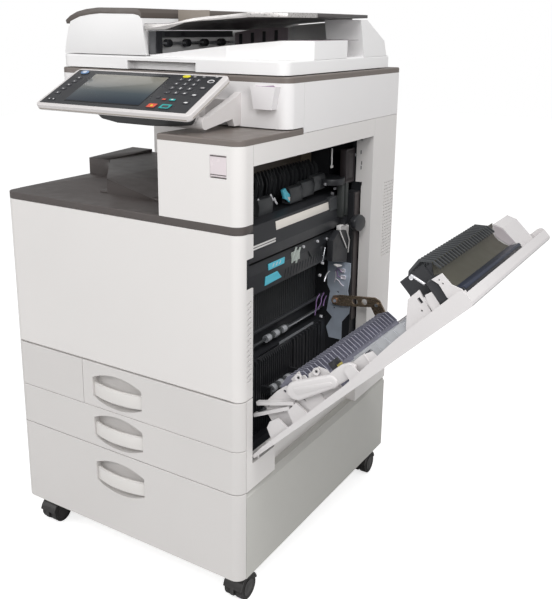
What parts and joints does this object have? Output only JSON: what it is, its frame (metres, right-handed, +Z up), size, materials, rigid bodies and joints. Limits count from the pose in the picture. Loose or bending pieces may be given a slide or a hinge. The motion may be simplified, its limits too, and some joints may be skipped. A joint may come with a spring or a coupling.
{
  "type": "multifunction printer",
  "caption": "Floor-standing multifunction printer with an open side door, paper drawers, in-body output tray, tilting panel, scanner and document feeder.",
  "frame": {"origin": "middle of the cabinet's footprint on the floor, side door excluded", "axes": "+X to the side that opens, +Y from the front to the back, +Z up"},
  "size_m": [0.9824, 0.656, 1.136],
  "materials": {
    "cover": "light grey moulded",
    "panel_white": "satin",
    "taupe": "fine grain",
    "bank_steel": "satin",
    "black_plastic": "matte",
    "dark_frame": "matte",
    "blue_steel": "satin",
    "bronze_steel": "plated",
    "steel": "brushed",
    "roller_rubber": "matte",
    "wheel_rubber": "matte",
    "tray_plastic": "matte",
    "toner_plastic": "satin",
    "glass": "clear",
    "clear_plastic": "clear",
    "screen_black": "gloss",
    "key_plastic": "matte",
    "fence_plastic": "satin",
    "switch_film": "translucent"
  },
  "bodies": {
    "machine": {"bank_case": "bank_steel", "left_front_panel": "cover", "rear_caster_forks": "black_plastic", "main_frame": "dark_frame", "left_cover": "cover", "rear_cover": "cover", "power_inlet": "black_plastic", "right_rear_cover": "cover", "right_upper_cover": "cover", "right_lower_cover": "cover", "output_deck": "taupe", "tower_cover": "cover", "tower_top": "taupe", "inner_cover": "tray_plastic", "toner_bottles": "toner_plastic", "belt_unit": "black_plastic", "fuser_unit": "black_plastic", "feed_guide": "black_plastic", "hinge_plate": "blue_steel", "panel_arm": "panel_white", "scanner_case": "cover", "scanner_top": "taupe", "platen_glass": "glass", "clip_tray": "panel_white"},
    "bank_drawer": {"bank_drawer": "tray_plastic", "bank_drawer_front": "cover"},
    "tray_2": {"tray_2": "tray_plastic", "tray_2_front": "cover"},
    "tray_1": {"tray_1": "tray_plastic", "tray_1_front": "cover"},
    "switch_cover": {"switch_cover": "switch_film"},
    "power_switch": {"power_switch": "key_plastic"},
    "registration_roller": {"registration_roller": "roller_rubber"},
    "feed_roller": {"feed_roller": "roller_rubber"},
    "side_door": {"door_shell": "panel_white", "door_frame": "panel_white", "duplex_guide": "black_plastic", "transfer_unit": "black_plastic", "clear_guide": "clear_plastic"},
    "jam_lever": {"jam_lever": "panel_white"},
    "door_stay": {"door_stay": "bronze_steel"},
    "front_cover": {"front_cover": "cover"},
    "panel": {"panel_case": "panel_white", "panel_screen": "screen_black"},
    "function_keys": {"function_keys": "key_plastic"},
    "number_keys": {"number_keys": "key_plastic"},
    "operation_keys": {"operation_keys": "key_plastic"},
    "scan_carriage": {"scan_carriage": "steel"},
    "feeder": {"adf_base": "cover"},
    "feed_cover": {"adf_feed_cover": "cover"},
    "feed_table": {"adf_table": "taupe"},
    "front_fence": {"front_fence": "fence_plastic"},
    "rear_fence": {"rear_fence": "fence_plastic"},
    "exit_rollers": {"adf_exit_rollers": "roller_rubber"},
    "front_left_fork": {"front_left_fork": "black_plastic"},
    "front_right_fork": {"front_right_fork": "black_plastic"},
    "front_left_wheels": {"front_left_wheels": "wheel_rubber"},
    "front_right_wheels": {"front_right_wheels": "wheel_rubber"},
    "rear_left_wheels": {"rear_left_wheels": "wheel_rubber"},
    "rear_right_wheels": {"rear_right_wheels": "wheel_rubber"}
  },
  "joints": [
    {"name": "bank_drawer_slide", "type": "slide", "parent": "machine", "child": "bank_drawer", "axis": [0, -1, 0], "range_m": [0, 0.42]},
    {"name": "tray_2_slide", "type": "slide", "parent": "machine", "child": "tray_2", "axis": [0, -1, 0], "range_m": [0, 0.4]},
    {"name": "tray_1_slide", "type": "slide", "parent": "machine", "child": "tray_1", "axis": [0, -1, 0], "range_m": [0, 0.4]},
    {"name": "switch_cover_hinge", "type": "hinge", "parent": "machine", "child": "switch_cover", "pos_m": [0.248, -0.322, 0.855], "axis": [1, 0, 0], "range_deg": [0, 70]},
    {"name": "power_switch_rock", "type": "hinge", "parent": "machine", "child": "power_switch", "pos_m": [0.248, -0.315, 0.872], "axis": [1, 0, 0], "range_deg": [-8, 8]},
    {"name": "registration_spin", "type": "hinge", "parent": "machine", "child": "registration_roller", "pos_m": [0.189, -0.053, 0.462], "axis": [0, 1, 0], "continuous": true},
    {"name": "feed_spin", "type": "hinge", "parent": "machine", "child": "feed_roller", "pos_m": [0.222, -0.054, 0.367], "axis": [0, 1, 0], "continuous": true},
    {"name": "side_door_hinge", "type": "hinge", "parent": "machine", "child": "side_door", "pos_m": [0.289, -0.041, 0.313], "axis": [0, 1, 0], "range_deg": [-46, 0]},
    {"name": "jam_lever_pivot", "type": "hinge", "parent": "side_door", "child": "jam_lever", "pos_m": [0.48461, -0.267, 0.53943], "axis": [0, 1, 0], "range_deg": [0, 12]},
    {"name": "door_stay_pivot", "type": "hinge", "parent": "machine", "child": "door_stay", "pos_m": [0.231, 0.165, 0.488], "axis": [0, 1, 0], "range_deg": [-101.2, 0]},
    {"name": "front_cover_hinge", "type": "hinge", "parent": "machine", "child": "front_cover", "pos_m": [0, -0.32, 0.446], "axis": [1, 0, 0], "range_deg": [0, 80]},
    {"name": "panel_tilt", "type": "hinge", "parent": "machine", "child": "panel", "pos_m": [0.145, -0.28, 0.936], "axis": [1, 0, 0], "range_deg": [-10, 20]},
    {"name": "function_keys_press", "type": "slide", "parent": "panel", "child": "function_keys", "axis": [0, 0.4496, -0.8932], "range_m": [0, 0.001], "stiffness_N_per_m": 800, "springref_m": -0.0005},
    {"name": "number_keys_press", "type": "slide", "parent": "panel", "child": "number_keys", "axis": [0, 0.4496, -0.8932], "range_m": [0, 0.001], "stiffness_N_per_m": 800, "springref_m": -0.0005},
    {"name": "operation_keys_press", "type": "slide", "parent": "panel", "child": "operation_keys", "axis": [0, 0.4496, -0.8932], "range_m": [0, 0.001], "stiffness_N_per_m": 800, "springref_m": -0.0005},
    {"name": "scan_travel", "type": "slide", "parent": "machine", "child": "scan_carriage", "axis": [1, 0, 0], "range_m": [0, 0.42]},
    {"name": "feeder_lift", "type": "hinge", "parent": "machine", "child": "feeder", "pos_m": [0.005, 0.3, 1.026], "axis": [-1, 0, 0], "range_deg": [0, 60]},
    {"name": "feed_cover_hinge", "type": "hinge", "parent": "feeder", "child": "feed_cover", "pos_m": [-0.266, 0.075, 1.048], "axis": [0, -1, 0], "range_deg": [0, 70]},
    {"name": "feed_table_hinge", "type": "hinge", "parent": "feeder", "child": "feed_table", "pos_m": [-0.028, 0.055, 1.098], "axis": [0, -1, 0], "range_deg": [0, 25]},
    {"name": "front_fence_slide", "type": "slide", "parent": "feed_table", "child": "front_fence", "axis": [0, 1, 0], "range_m": [0, 0.1]},
    {"name": "rear_fence_slide", "type": "slide", "parent": "feed_table", "child": "rear_fence", "axis": [0, -1, 0], "range_m": [0, 0.1]},
    {"name": "exit_spin", "type": "hinge", "parent": "feeder", "child": "exit_rollers", "pos_m": [-0.025, -0.016, 1.068], "axis": [0, 1, 0], "continuous": true},
    {"name": "front_left_swivel", "type": "hinge", "parent": "machine", "child": "front_left_fork", "pos_m": [-0.239, -0.275, 0.057], "axis": [0, 0, 1], "continuous": true},
    {"name": "front_left_roll", "type": "hinge", "parent": "front_left_fork", "child": "front_left_wheels", "pos_m": [-0.239, -0.289, 0.025], "axis": [1, 0, 0], "continuous": true},
    {"name": "front_right_swivel", "type": "hinge", "parent": "machine", "child": "front_right_fork", "pos_m": [0.262, -0.265, 0.057], "axis": [0, 0, 1], "continuous": true},
    {"name": "front_right_roll", "type": "hinge", "parent": "front_right_fork", "child": "front_right_wheels", "pos_m": [0.262, -0.279, 0.025], "axis": [1, 0, 0], "continuous": true},
    {"name": "rear_left_roll", "type": "hinge", "parent": "machine", "child": "rear_left_wheels", "pos_m": [-0.239, 0.281, 0.025], "axis": [1, 0, 0], "continuous": true},
    {"name": "rear_right_roll", "type": "hinge", "parent": "machine", "child": "rear_right_wheels", "pos_m": [0.262, 0.281, 0.025], "axis": [1, 0, 0], "continuous": true}
  ],
  "couplings": [
    {"joint": "door_stay_pivot", "follows": "side_door_hinge", "ratio": 2.195},
    {"joint": "rear_fence_slide", "follows": "front_fence_slide", "ratio": 1}
  ]
}
